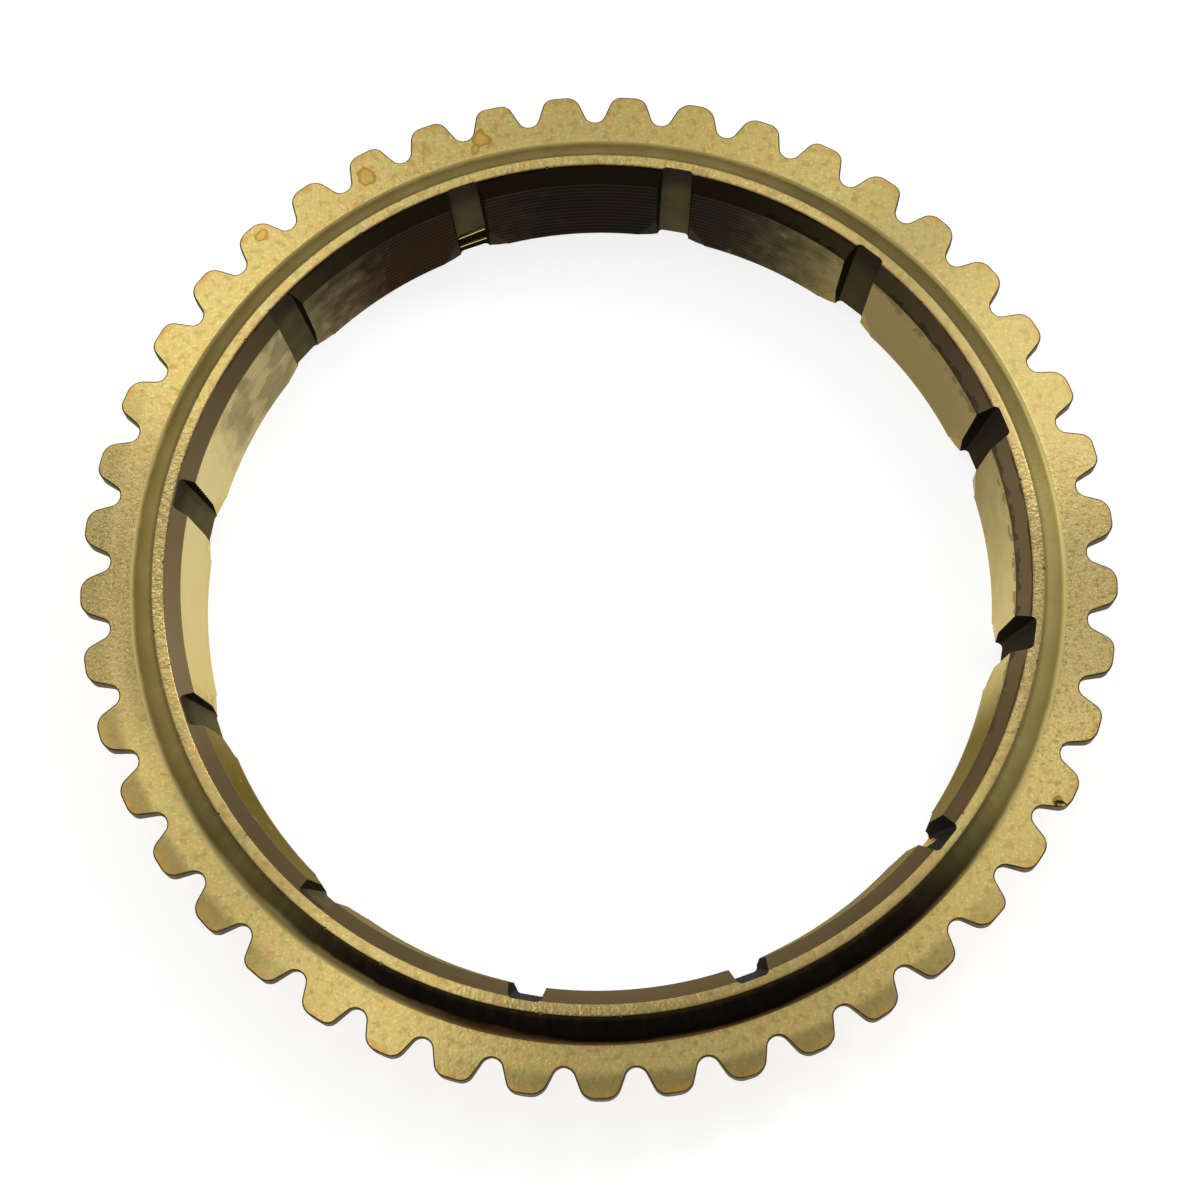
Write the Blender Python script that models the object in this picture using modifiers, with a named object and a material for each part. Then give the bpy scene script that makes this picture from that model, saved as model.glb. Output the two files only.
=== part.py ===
"""Synchronizer ring of a manual gearbox, in one piece of brass, standing on its hub end.

The blank is turned, trimmed to the outline of its dog teeth, and the teeth are pointed on the hub side.
Oil grooves are then cut down the cone bore, and key slots into the collar from the hub end.
Lengths are in metres. The origin is on the ring's axis in the hub end, +Z runs to the gear side,
and a key slot and a dog tooth are centred on +Y.
"""

import math

import bmesh
import bpy
from mathutils import Matrix, Vector

# Heights, from the hub end to the gear side
collar_height = 0.00545
flange_thickness = 0.0026
lip_height = 0.00177

# Dog teeth, whose spaces are cut from the tips down to the roots
tooth_count = 45
tip_radius = 0.0420
tooth_depth = 0.00235
space_width_at_root = 0.00116
space_flank_angle = math.radians(24.5)
tip_corner_radius = 0.0011
root_fillet = 0.00085

# Flange face inside the roots, the hollow band that rises from it, and the lip round the mouth of the bore
flange_face_width = 0.00165
band_width = 0.00215
band_hollow_radius = 0.0050
lip_width = 0.00088
mouth_chamfer_depth = 0.00125
mouth_chamfer_angle = math.radians(45)

# Cone bore, open to the gear side
cone_half_angle = math.radians(6.5)
bore_edge_break = 0.0003

# Collar below the flange
collar_wall = 0.0038
collar_draft = math.radians(4)
collar_fillet = 0.0007
collar_edge_break = 0.0005

# Points of the teeth, on the hub side
point_half_angle = math.radians(55)
ridge_flat = 0.0003
pointing_runout = 0.0003

# Oil grooves down the bore
groove_count = 12
groove_floor_width = 0.0025
groove_draft = math.radians(12)
groove_corner_radius = 0.0004
groove_bite_in_lip = 0.00015
groove_depth_at_hub_end = 0.0008

# Key slots in the collar
slot_count = 3
slot_width = 0.0130
slot_roof = 0.0014
slot_wall = 0.0019
slot_corner_radius = 0.0008

# How finely round stretches are divided, and how far a cutter runs past what it cuts
turning_steps = 144
arc_steps = 4
overrun = 0.0010
small_overrun = 0.00005

# Brass
brass_colour = (0.72, 0.56, 0.27, 1.0)
brass_roughness = 0.38

first_angle = math.radians(90)
tooth_pitch = 2 * math.pi / tooth_count
groove_pitch = 2 * math.pi / groove_count
slot_pitch = 2 * math.pi / slot_count
flange_face = collar_height + flange_thickness
ring_height = flange_face + lip_height
mouth_height = ring_height - mouth_chamfer_depth
root_radius = tip_radius - tooth_depth
band_outer_radius = root_radius - flange_face_width
lip_outer_radius = band_outer_radius - band_width
lip_inner_radius = lip_outer_radius - lip_width
mouth_radius = lip_inner_radius - mouth_chamfer_depth * math.tan(mouth_chamfer_angle)
bore_radius = mouth_radius - mouth_height * math.tan(cone_half_angle)
collar_radius = bore_radius + collar_wall
slot_height = collar_height - slot_roof


def rounded(corners):
    """The outline through the corners, each (x, y, radius), with each corner turned into an arc of its radius."""
    outline = []
    for i, (x, y, radius) in enumerate(corners):
        corner = Vector((x, y))
        if radius == 0:
            outline.append(corner)
            continue
        back = (Vector(corners[i - 1][:2]) - corner).normalized()
        onward = (Vector(corners[(i + 1) % len(corners)][:2]) - corner).normalized()
        half_angle = back.angle(onward) / 2
        centre = corner + (back + onward).normalized() * radius / math.sin(half_angle)
        start = corner + back * radius / math.tan(half_angle) - centre
        end = corner + onward * radius / math.tan(half_angle) - centre
        turn = math.atan2(start.cross(end), start.dot(end))
        for step in range(arc_steps + 1):
            outline.append(centre + Matrix.Rotation(turn * step / arc_steps, 2) @ start)
    return outline


def arc_between(start, end, radius):
    """The points between two ends of an arc, which bulges to the right of the way from start to end."""
    chord = end - start
    half_turn = math.asin(chord.length / (2 * radius))
    to_centre = Vector((-chord.y, chord.x)).normalized()
    centre = (start + end) / 2 + to_centre * radius * math.cos(half_turn)
    spoke = start - centre
    turns = [2 * half_turn * step / (arc_steps + 1) for step in range(1, arc_steps + 1)]
    return [centre + Matrix.Rotation(turn, 2) @ spoke for turn in turns]


def add_prism(bm, outline, place, run):
    """Adds the solid that the outline, in the XY plane of place, sweeps along run."""
    corners = [bm.verts.new(place @ point.to_3d()) for point in outline]
    base = bm.faces.new(corners)
    swept = bmesh.ops.extrude_face_region(bm, geom=[base], use_keep_orig=True)
    moved = [part for part in swept["geom"] if isinstance(part, bmesh.types.BMVert)]
    bmesh.ops.translate(bm, verts=moved, vec=place.to_3x3() @ run)


def new_object(name, bm, collection):
    bmesh.ops.recalc_face_normals(bm, faces=bm.faces)
    mesh = bpy.data.meshes.new(name)
    bm.to_mesh(mesh)
    bm.free()
    made = bpy.data.objects.new(name, mesh)
    collection.objects.link(made)
    return made


def new_cutter(name, bm, collection):
    cutter = new_object(name, bm, collection)
    cutter.hide_render = True
    cutter.display_type = "WIRE"
    return cutter


def new_collection(name):
    collection = bpy.data.collections.new(name)
    bpy.context.scene.collection.children.link(collection)
    return collection


def brass():
    material = bpy.data.materials.new("brass")
    material.use_nodes = True
    shader = material.node_tree.nodes["Principled BSDF"]
    shader.inputs["Base Color"].default_value = brass_colour
    shader.inputs["Metallic"].default_value = 1.0
    shader.inputs["Roughness"].default_value = brass_roughness
    return material


def radial_place(angle, radius):
    """A frame whose X runs round the ring, Y up its axis and Z out along the spoke at this angle."""
    axes = Matrix(((0, 0, 1, radius), (1, 0, 0, 0), (0, 1, 0, 0), (0, 0, 0, 1)))
    return Matrix.Rotation(angle, 4, "Z") @ axes


def section():
    """The turned section as (radius, height), down the outer side from the lip and up the bore."""
    collar_end_radius = collar_radius - collar_height * math.tan(collar_draft)
    rim_radius = tip_radius + overrun
    lip_edge = Vector((lip_outer_radius, ring_height))
    band_edge = Vector((band_outer_radius, flange_face))
    lip_side = [Vector((lip_inner_radius, ring_height)), lip_edge]
    lip_side += arc_between(lip_edge, band_edge, band_hollow_radius)
    lower_side = [
        (rim_radius, flange_face, 0),
        (rim_radius, collar_height, 0),
        (collar_radius, collar_height, collar_fillet),
        (collar_end_radius, 0, 0),
    ]
    flange_and_collar = rounded([(*band_edge, 0)] + lower_side)[:-1]
    hub_end = [
        Vector((collar_end_radius, collar_edge_break)),
        Vector((collar_end_radius - collar_edge_break, 0)),
        Vector((bore_radius + bore_edge_break, 0)),
        Vector((bore_radius + bore_edge_break * math.tan(cone_half_angle), bore_edge_break)),
    ]
    return lip_side + flange_and_collar + hub_end + [Vector((mouth_radius, mouth_height))]


def turned_blank(collection):
    bm = bmesh.new()
    points = [bm.verts.new((point.x, 0, point.y)) for point in section()]
    for i, point in enumerate(points):
        bm.edges.new((points[i - 1], point))
    mesh = bpy.data.meshes.new("synchronizer_ring")
    bm.to_mesh(mesh)
    bm.free()
    blank = bpy.data.objects.new("synchronizer_ring", mesh)
    collection.objects.link(blank)
    turning = blank.modifiers.new("turning", "SCREW")
    turning.axis = "Z"
    turning.angle = 2 * math.pi
    turning.steps = turning_steps
    turning.render_steps = turning_steps
    turning.use_merge_vertices = True
    turning.merge_threshold = 0.00001
    return blank


def flank_point(radius):
    """Where a side of a tooth space crosses this radius, as (distance along its middle, distance beside it)."""
    slope = math.tan(space_flank_angle)
    offset = space_width_at_root / 2 - root_radius * slope
    square = 1 + slope * slope
    along = (math.sqrt(square * radius * radius - offset * offset) - offset * slope) / square
    return along, offset + along * slope


def tooth_outline():
    """The outline of the whole toothed flange, anticlockwise, space after space."""
    root_x, root_y = flank_point(root_radius)
    tip_x, tip_y = flank_point(tip_radius)
    space_and_tip = [
        (tip_x, -tip_y, tip_corner_radius),
        (root_x, -root_y, root_fillet),
        (root_x, root_y, root_fillet),
        (tip_x, tip_y, tip_corner_radius),
        (tip_radius * math.cos(tooth_pitch / 2), tip_radius * math.sin(tooth_pitch / 2), 0),
    ]
    corners = []
    for k in range(tooth_count):
        turn = Matrix.Rotation(first_angle + (k + 0.5) * tooth_pitch, 2)
        for x, y, radius in space_and_tip:
            corners.append((*(turn @ Vector((x, y))), radius))
    return rounded(corners)


def tooth_former(collection):
    bm = bmesh.new()
    below = Matrix.Translation((0, 0, -overrun))
    add_prism(bm, tooth_outline(), below, Vector((0, 0, ring_height + 2 * overrun)))
    return new_cutter("tooth_former", bm, collection)


def pointing_cutter(collection):
    """A V through each tooth space from the hub side, which leaves every tooth a point with two sloping faces."""
    half_width = root_radius * math.tan(tooth_pitch / 2) - ridge_flat / 2
    slope = math.tan(point_half_angle)
    apex = collar_height + half_width / slope
    shoulder = collar_height - small_overrun
    half_shoulder = half_width + small_overrun * slope
    outline = [
        Vector((-half_shoulder, shoulder - overrun)),
        Vector((half_shoulder, shoulder - overrun)),
        Vector((half_shoulder, shoulder)),
        Vector((0, apex)),
        Vector((-half_shoulder, shoulder)),
    ]
    inner_end = root_radius - pointing_runout
    run = Vector((0, 0, tip_radius + overrun - inner_end))
    bm = bmesh.new()
    for k in range(tooth_count):
        angle = first_angle + (k + 0.5) * tooth_pitch
        add_prism(bm, outline, radial_place(angle, inner_end), run)
    return new_cutter("pointing_cutter", bm, collection)


def groove_cutter(collection):
    """Drafted grooves, whose floors rise from just inside the lip's edge to a shallow run-out at the hub end."""
    floor_at_hub_end = bore_radius + groove_depth_at_hub_end
    floor_at_lip = lip_inner_radius + groove_bite_in_lip
    rise = (floor_at_lip - floor_at_hub_end) / ring_height
    length = ring_height + 2 * overrun
    inward = floor_at_lip - bore_radius + 2 * overrun
    half_floor = groove_floor_width / 2
    half_mouth = half_floor + inward * math.tan(groove_draft)
    outline = rounded([
        (-inward, -half_mouth, 0),
        (0, -half_floor, groove_corner_radius),
        (0, half_floor, groove_corner_radius),
        (-inward, half_mouth, 0),
    ])
    start = Matrix.Translation((floor_at_hub_end - rise * overrun, 0, -overrun))
    run = Vector((rise * length, 0, length))
    bm = bmesh.new()
    for k in range(groove_count):
        angle = first_angle + (k + 0.5) * groove_pitch
        add_prism(bm, outline, Matrix.Rotation(angle, 4, "Z") @ start, run)
    return new_cutter("groove_cutter", bm, collection)


def slot_cutter(collection):
    """Key slots with a flat floor, open outwards and at the hub end."""
    half_width = slot_width / 2
    outline = rounded([
        (-half_width, -overrun, 0),
        (half_width, -overrun, 0),
        (half_width, slot_height, slot_corner_radius),
        (-half_width, slot_height, slot_corner_radius),
    ])
    floor_radius = bore_radius + slot_wall
    run = Vector((0, 0, collar_radius + overrun - floor_radius))
    bm = bmesh.new()
    for k in range(slot_count):
        add_prism(bm, outline, radial_place(first_angle + k * slot_pitch, floor_radius), run)
    return new_cutter("slot_cutter", bm, collection)


def combine(ring, cutter, operation):
    step = ring.modifiers.new(cutter.name, "BOOLEAN")
    step.operation = operation
    step.object = cutter


def keep_result(ring):
    """Makes the cut ring a plain mesh, smooth on its turned faces and sharp at its edges."""
    bpy.context.view_layer.update()
    graph = bpy.context.evaluated_depsgraph_get()
    finished = bpy.data.meshes.new_from_object(ring.evaluated_get(graph))
    finished.name = ring.name
    ring.modifiers.clear()
    ring.data = finished
    finished.shade_smooth()
    finished.set_sharp_from_angle(angle=math.radians(25))


def build():
    for old in list(bpy.data.objects):
        bpy.data.objects.remove(old)
    parts = new_collection("synchronizer ring")
    cutters = new_collection("cutters")
    ring = turned_blank(parts)
    combine(ring, tooth_former(cutters), "INTERSECT")
    combine(ring, pointing_cutter(cutters), "DIFFERENCE")
    combine(ring, groove_cutter(cutters), "DIFFERENCE")
    combine(ring, slot_cutter(cutters), "DIFFERENCE")
    keep_result(ring)
    ring.data.materials.clear()
    ring.data.materials.append(brass())


build()
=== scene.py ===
# %% [markdown]
# # A brass synchronizer ring
# The ring lets a gearbox change gear quietly: its cone bore rubs on the cone of a gear until both turn alike,
# and then the pointed dog teeth on its flange let the sleeve through.
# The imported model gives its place, its height and its outside diameter. This lesson models the same ring again
# with the detail that a solid for simulation leaves out, and then gives each surface the finish its tool left.

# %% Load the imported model
import math
import random
import bmesh
import bpy
from mathutils import Matrix, Vector


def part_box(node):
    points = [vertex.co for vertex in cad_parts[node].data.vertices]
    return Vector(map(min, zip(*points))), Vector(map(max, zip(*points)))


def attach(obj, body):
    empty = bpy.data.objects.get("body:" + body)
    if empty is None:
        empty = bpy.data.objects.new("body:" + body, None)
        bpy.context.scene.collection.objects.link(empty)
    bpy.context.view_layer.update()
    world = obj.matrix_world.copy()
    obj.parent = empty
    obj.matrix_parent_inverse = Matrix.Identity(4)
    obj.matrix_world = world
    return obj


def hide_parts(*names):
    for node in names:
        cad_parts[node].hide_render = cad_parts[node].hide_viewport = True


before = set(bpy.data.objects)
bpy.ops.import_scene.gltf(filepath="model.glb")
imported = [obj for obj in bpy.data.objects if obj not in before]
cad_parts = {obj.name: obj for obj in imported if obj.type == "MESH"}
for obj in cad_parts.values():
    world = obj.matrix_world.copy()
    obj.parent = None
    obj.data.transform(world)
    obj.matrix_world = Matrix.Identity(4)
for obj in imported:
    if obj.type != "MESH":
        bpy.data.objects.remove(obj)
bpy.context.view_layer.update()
low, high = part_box("synchronizer_ring")
tip_radius = (high.x - low.x) / 2
ring_height = high.z
print(f"the ring measures {2000 * tip_radius:.1f} mm across and {1000 * ring_height:.1f} mm high")

# %% [markdown]
# ## One dog tooth
# Seen from above, a dog tooth is a wedge with round corners, and a fillet runs into the next space.
# It could be drawn point by point. Here four corners and a vertex bevel do it, as a file would round them.
# The blanks are broached and then tumbled, so no two teeth are quite alike: a small, seeded spread of the
# corners keeps the row from looking stamped.

# %% Sizes of the teeth, in metres
tooth_count = 45
tooth_pitch = 2 * math.pi / tooth_count
first_angle = math.radians(90)
tooth_depth = 0.00235
root_radius = tip_radius - tooth_depth
space_width_at_root = 0.00116
space_flank_angle = math.radians(24.5)
tip_corner_radius = 0.00110
tip_corner_spread = 0.00022
tip_shortfall = 0.00005
ridge_half_angle = math.radians(0.42)
root_fillet = 0.00080
corner_segments = 5
merge_distance = 0.00001
spread = random.Random(45)
print(f"the teeth stand {1000 * tip_radius * tooth_pitch:.2f} mm apart at their tips")


# %% Helpers for outlines
def flank_point(radius):
    """Where a side of a tooth space crosses this radius, along and beside the middle of the space."""
    slope = math.tan(space_flank_angle)
    offset = space_width_at_root / 2 - root_radius * slope
    square = 1 + slope * slope
    along = (math.sqrt(square * radius * radius - offset * offset) - offset * slope) / square
    return Vector((along, offset + along * slope, 0))


def turned(point, angle):
    return Matrix.Rotation(angle, 3, "Z") @ point


def add_path(bm, points):
    """A chain of edges through the points."""
    verts = [bm.verts.new(point) for point in points]
    for start, end in zip(verts, verts[1:]):
        bm.edges.new((start, end))
    return verts


def round_corner(bm, vert, radius, segments):
    """A vertex bevel that leaves an arc of this radius at a corner of two edges."""
    arms = [(edge.other_vert(vert).co - vert.co).normalized() for edge in vert.link_edges]
    tangent = radius / math.tan(arms[0].angle(arms[1]) / 2)
    bmesh.ops.bevel(bm, geom=[vert], offset=tangent, offset_type="OFFSET", affect="VERTICES",
                    segments=segments, profile=0.5, material=-1)


# %% The outline of all the teeth
def add_tooth(bm, middle):
    """One tooth and half a space on each side of it, as a chain of edges."""
    tip = tip_radius - spread.uniform(0, tip_shortfall)
    side = flank_point(tip)
    root = flank_point(root_radius)
    half_pitch = tooth_pitch / 2
    space_middle = Vector((root.x, 0, 0))
    path = [
        turned(space_middle, -half_pitch),
        turned(root, -half_pitch),
        turned(side, -half_pitch),
        turned(Vector((tip, 0, 0)), -ridge_half_angle),
        Vector((tip, 0, 0)),
        turned(Vector((tip, 0, 0)), ridge_half_angle),
        turned(Vector((side.x, -side.y, 0)), half_pitch),
        turned(Vector((root.x, -root.y, 0)), half_pitch),
        turned(space_middle, half_pitch),
    ]
    root_corners, tip_corners = (1, 7), (2, 6)
    verts = add_path(bm, [turned(point, middle) for point in path])
    for i in root_corners:
        round_corner(bm, verts[i], root_fillet, corner_segments)
    for i in tip_corners:
        rounding = tip_corner_radius + spread.uniform(-1, 1) * tip_corner_spread
        round_corner(bm, verts[i], rounding, corner_segments)


ring = bmesh.new()
for k in range(tooth_count):
    add_tooth(ring, first_angle + k * tooth_pitch)
bmesh.ops.remove_doubles(ring, verts=ring.verts, dist=merge_distance)
print(f"the outline of {tooth_count} teeth has {len(ring.verts)} points")

# %% [markdown]
# ## The flange, the band and the lip
# Everything outside the mouth of the bore is one skin that follows the teeth. It could be a spun disc with the
# spaces cut away, but then each cut leaves its own ragged triangles. Here the loop of the outline is extruded
# again and again, inwards to round circles and down over the pointed side, so the skin is all clean quads.
# The band is what a turning tool leaves: a fillet out of the flange face, then a straight cone up to the lip.
# On the hub side a V runs through each space, and leaves every tooth a roof with a narrow flat for its ridge.

# %% Sizes of the flange, the band and the lip
collar_height = 0.00545
lip_height = 0.00177
flange_face = ring_height - lip_height
flange_face_width = 0.00165
band_width = 0.00215
band_slope = math.radians(45)
band_foot_fillet = 0.0010
fillet_steps = 6
lip_width = 0.00088
lip_joint_inset = 0.4 * lip_width
band_outer_radius = root_radius - flange_face_width
lip_outer_radius = band_outer_radius - band_width
lip_inner_radius = lip_outer_radius - lip_width
corner_of_band = lip_outer_radius + lip_height / math.tan(band_slope)
foot_of_band = corner_of_band + band_foot_fillet * math.tan(band_slope / 2)
point_half_angle = math.radians(55)
ridge_half_width = 0.00015
pointing_runout = 0.0003
pointing_inner_radius = root_radius - pointing_runout
collar_radius = 0.03654
collar_draft = math.radians(4)
collar_taper = math.tan(collar_draft)
collar_fillet = 0.0007
collar_joint_height = 0.0045
collar_joint_radius = collar_radius - (collar_height - collar_joint_height) * collar_taper
flange_border = 0.00024
print(f"the lip lies from {1000 * lip_inner_radius:.2f} to {1000 * lip_outer_radius:.2f} mm from the axis")


# %% Helpers for loops
def extrude_loop(bm, loop, place):
    """Extrudes a closed loop of edges and moves each new point to place(point)."""
    grown = bmesh.ops.extrude_edge_only(bm, edges=loop)["geom"]
    fresh = {part for part in grown if isinstance(part, bmesh.types.BMVert)}
    for vert in fresh:
        vert.co = place(vert.co)
    return [edge for edge in bm.edges if edge.verts[0] in fresh and edge.verts[1] in fresh]


def circle(radius, height):
    """Moves a point along its spoke to this radius, and to this height."""
    def place(point):
        spoke = Vector((point.x, point.y, 0)).normalized()
        return spoke * radius + Vector((0, 0, height))
    return place


def arc_stations(centre, radius, start, end):
    """Evenly spaced (radius, height) pairs along an arc between two angles, without its first point."""
    angles = [start + (end - start) * i / fillet_steps for i in range(1, fillet_steps + 1)]
    return [(centre[0] + radius * math.cos(a), centre[1] + radius * math.sin(a)) for a in angles]


def drop_to_pointed_side(point):
    """Moves a point down to the hub side: a V runs through each tooth space, and the ridges stay flat."""
    angle = math.atan2(point.y, point.x) - first_angle - tooth_pitch / 2
    beside = math.hypot(point.x, point.y) * abs(math.sin(math.remainder(angle, tooth_pitch)))
    half_width = root_radius * math.tan(tooth_pitch / 2) - ridge_half_width
    height = collar_height + max(0, half_width - beside) / math.tan(point_half_angle)
    return Vector((point.x, point.y, height))


def band_stations():
    """The band as (radius, height): a fillet out of the flange face, then a straight cone up to the lip."""
    centre = (foot_of_band, flange_face + band_foot_fillet)
    start = math.radians(270)
    return arc_stations(centre, band_foot_fillet, start, start - band_slope) + [(lip_outer_radius, ring_height)]


# %% The skin from the teeth inwards to the lip
bmesh.ops.translate(ring, verts=ring.verts, vec=(0, 0, flange_face))
rim = ring.edges[:]
loop = extrude_loop(ring, rim, circle(foot_of_band, flange_face))
flange_faces = ring.faces[:]
for station in band_stations():
    loop = extrude_loop(ring, loop, circle(*station))
lip_edge = loop
extrude_loop(ring, loop, circle(lip_outer_radius - lip_joint_inset, ring_height))
print(f"the upper skin has {len(ring.faces)} faces")

# %% The skin from the teeth down to the collar
lower_rim = extrude_loop(ring, rim, drop_to_pointed_side)
loop = extrude_loop(ring, lower_rim, lambda point: drop_to_pointed_side(circle(pointing_inner_radius, 0)(point)))
loop = extrude_loop(ring, loop, lambda point: Vector((point.x, point.y, collar_height)))
loop = extrude_loop(ring, loop, circle(collar_radius + collar_fillet, collar_height))
fillet_centre = (collar_radius + collar_fillet, collar_height - collar_fillet)
for station in arc_stations(fillet_centre, collar_fillet, math.radians(90), math.radians(180) - collar_draft):
    loop = extrude_loop(ring, loop, circle(*station))
extrude_loop(ring, loop, circle(collar_joint_radius, collar_joint_height))
bmesh.ops.recalc_face_normals(ring, faces=ring.faces)
bmesh.ops.inset_region(ring, faces=flange_faces, thickness=flange_border, depth=0, use_even_offset=True)
print(f"the skin round the teeth has {len(ring.faces)} faces")

# %% [markdown]
# A tumbled edge is never sharp. A bevel on the rims of the teeth and on the lip's edge catches the light
# as the real edges do.

# %% Rounded rims
def round_edges(bm, edges, offset, segments):
    bmesh.ops.bevel(bm, geom=edges, offset=offset, offset_type="OFFSET", affect="EDGES", segments=segments,
                    profile=0.5, material=-1, clamp_overlap=True)


tooth_rim_rounding = 0.00012
lower_rim_rounding = 0.00008
lip_edge_rounding = 0.00010
round_edges(ring, rim, tooth_rim_rounding, 2)
round_edges(ring, lower_rim, lower_rim_rounding, 1)
round_edges(ring, lip_edge, lip_edge_rounding, 2)
print(f"with its rims rounded it has {len(ring.faces)} faces")

# %% [markdown]
# ## The bore
# The cone bore carries a fine thread, whose crests scrape the oil off the cone that it grips. The grooves of
# the thread are closed rings here: their lead is half a millimetre in a whole turn, which no eye sees.
# The profile runs from the lip down the bore, round the hub end and up the collar, and one full spin turns it.

# %% Sizes of the bore and the hub end
mouth_chamfer_depth = 0.00125
mouth_height = ring_height - mouth_chamfer_depth
mouth_radius = lip_inner_radius - mouth_chamfer_depth
cone_slope = math.tan(math.radians(6.5))
bore_radius = mouth_radius - mouth_height * cone_slope
bore_edge_break = 0.0003
collar_edge_break = 0.0005
collar_end_radius = collar_radius - collar_height * collar_taper
collar_joint_gap = 0.0004
lip_inner_rounding = 0.00012
lip_inner_segments = 3
thread_pitch = 0.00055
thread_depth = 0.00008
thread_crest = 0.00002
thread_margin = 0.0001
turning_steps = 240
print(f"the bore is {2000 * bore_radius:.1f} mm wide at the hub end and {2000 * mouth_radius:.1f} mm at the mouth")


# %% The turned profile
def cone_radius(height):
    return bore_radius + height * cone_slope


def thread_stations():
    """Corners of the thread as (radius, height), from the mouth down to the hub end."""
    stations = []
    count = int((mouth_height - 2 * thread_margin - bore_edge_break) / thread_pitch)
    for i in range(count):
        top = mouth_height - thread_margin - i * thread_pitch
        root = top - (thread_pitch - thread_crest) / 2
        foot = top - (thread_pitch - thread_crest)
        stations += [
            (cone_radius(top), top),
            (cone_radius(root) + thread_depth, root),
            (cone_radius(foot), foot),
        ]
    return stations


profile = [
    (lip_inner_radius + lip_joint_inset, ring_height),
    (lip_inner_radius, ring_height),
    (mouth_radius, mouth_height),
    *thread_stations(),
    (cone_radius(bore_edge_break), bore_edge_break),
    (bore_radius + bore_edge_break, 0),
    (collar_end_radius - collar_edge_break, 0),
    (collar_end_radius, collar_edge_break),
    (collar_joint_radius - collar_joint_gap * collar_taper, collar_joint_height - collar_joint_gap),
]
bore = bmesh.new()
chain = add_path(bore, [(radius, 0, height) for radius, height in profile])
round_corner(bore, chain[1], lip_inner_rounding, lip_inner_segments)
bmesh.ops.spin(bore, geom=bore.verts[:] + bore.edges[:], cent=(0, 0, 0), axis=(0, 0, 1),
               angle=2 * math.pi, steps=turning_steps, use_merge=True)
print(f"the bore has {len(bore.faces)} faces")

# %% Join the two skins
def add_mesh_of(bm, other):
    """Adds the faces of another bmesh to this one, and frees the other."""
    mesh = bpy.data.meshes.new("part")
    other.to_mesh(mesh)
    other.free()
    bm.from_mesh(mesh)
    bpy.data.meshes.remove(mesh)


def open_ends(bm, height, radius):
    """The open edges that lie on one circle."""
    found = []
    for edge in bm.edges:
        middle = (edge.verts[0].co + edge.verts[1].co) / 2
        level = abs(middle.z - height) < merge_distance
        if edge.is_boundary and level and abs(middle.to_2d().length - radius) < 2 * merge_distance:
            found.append(edge)
    return found


add_mesh_of(ring, bore)
upper_ends = open_ends(ring, ring_height, lip_outer_radius - lip_joint_inset)
upper_ends += open_ends(ring, ring_height, lip_inner_radius + lip_joint_inset)
bmesh.ops.bridge_loops(ring, edges=upper_ends)
bmesh.ops.bridge_loops(ring, edges=[edge for edge in ring.edges if edge.is_boundary])
bmesh.ops.recalc_face_normals(ring, faces=ring.faces)
open_edges = sum(not edge.is_manifold for edge in ring.edges)
print(f"the joined skin has {len(ring.faces)} faces and {open_edges} open edges")

# %% [markdown]
# ## A finish for each tool
# The ring is one metal, but each tool leaves it another face: the tumbler's sand on the flange and the lip,
# the turning tool's sheen on the band and in the bore, and the broach's drag in the grooves. Each finish is a
# material slot of one piece, and a face takes its slot from where it lies on the section.

# %% Slots for the finishes
finish_names = ["tumbled_brass", "tooth_flank", "turned_band", "mouth_chamfer", "threaded_bore",
                "broached_groove", "groove_wall", "fresh_brass"]
finishes = {name: bpy.data.materials.new(name) for name in finish_names}
TUMBLED, FLANK, BAND, CHAMFER, THREAD, BROACHED, WALL, FRESH = range(len(finish_names))
hair = 0.00003
level_normal = 0.95


def finish_at(face):
    centre = face.calc_center_median()
    radius = centre.to_2d().length
    inwards = face.normal.dot(centre.to_2d().to_3d()) < 0
    if inwards and centre.z < mouth_height:
        return THREAD
    if inwards and centre.z < ring_height - hair and centre.z > mouth_height:
        return CHAMFER
    if lip_outer_radius + hair < radius < foot_of_band and centre.z > flange_face + 0.3 * hair:
        return BAND
    upright = abs(face.normal.z) < level_normal and centre.z > collar_height
    return FLANK if upright and radius > root_radius - 0.5 * pointing_runout else TUMBLED


for face in ring.faces:
    face.material_index = finish_at(face)


def new_piece(name, bm):
    mesh = bpy.data.meshes.new(name)
    bm.to_mesh(mesh)
    bm.free()
    for finish in finishes.values():
        mesh.materials.append(finish)
    piece = bpy.data.objects.new(name, mesh)
    bpy.context.scene.collection.objects.link(piece)
    return piece


ring_piece = new_piece("ring", ring)
print(f"{len(finish_names)} finishes on one piece")

# %% [markdown]
# ## Oil grooves and key slots
# Twelve grooves carry the oil away from the cone. A broach with twelve teeth cuts them in one stroke, a little
# off centre on this ring: the grooves on one side bite into the lip and the ones across from them don't reach
# it. Three wider slots in the collar take the keys of the hub. All are cut here as they are on the machine,
# with a Boolean and a cutter that has round corners.

# %% A bar for the cutters
bar_corner_segments = 4
overrun = 0.0010


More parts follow.
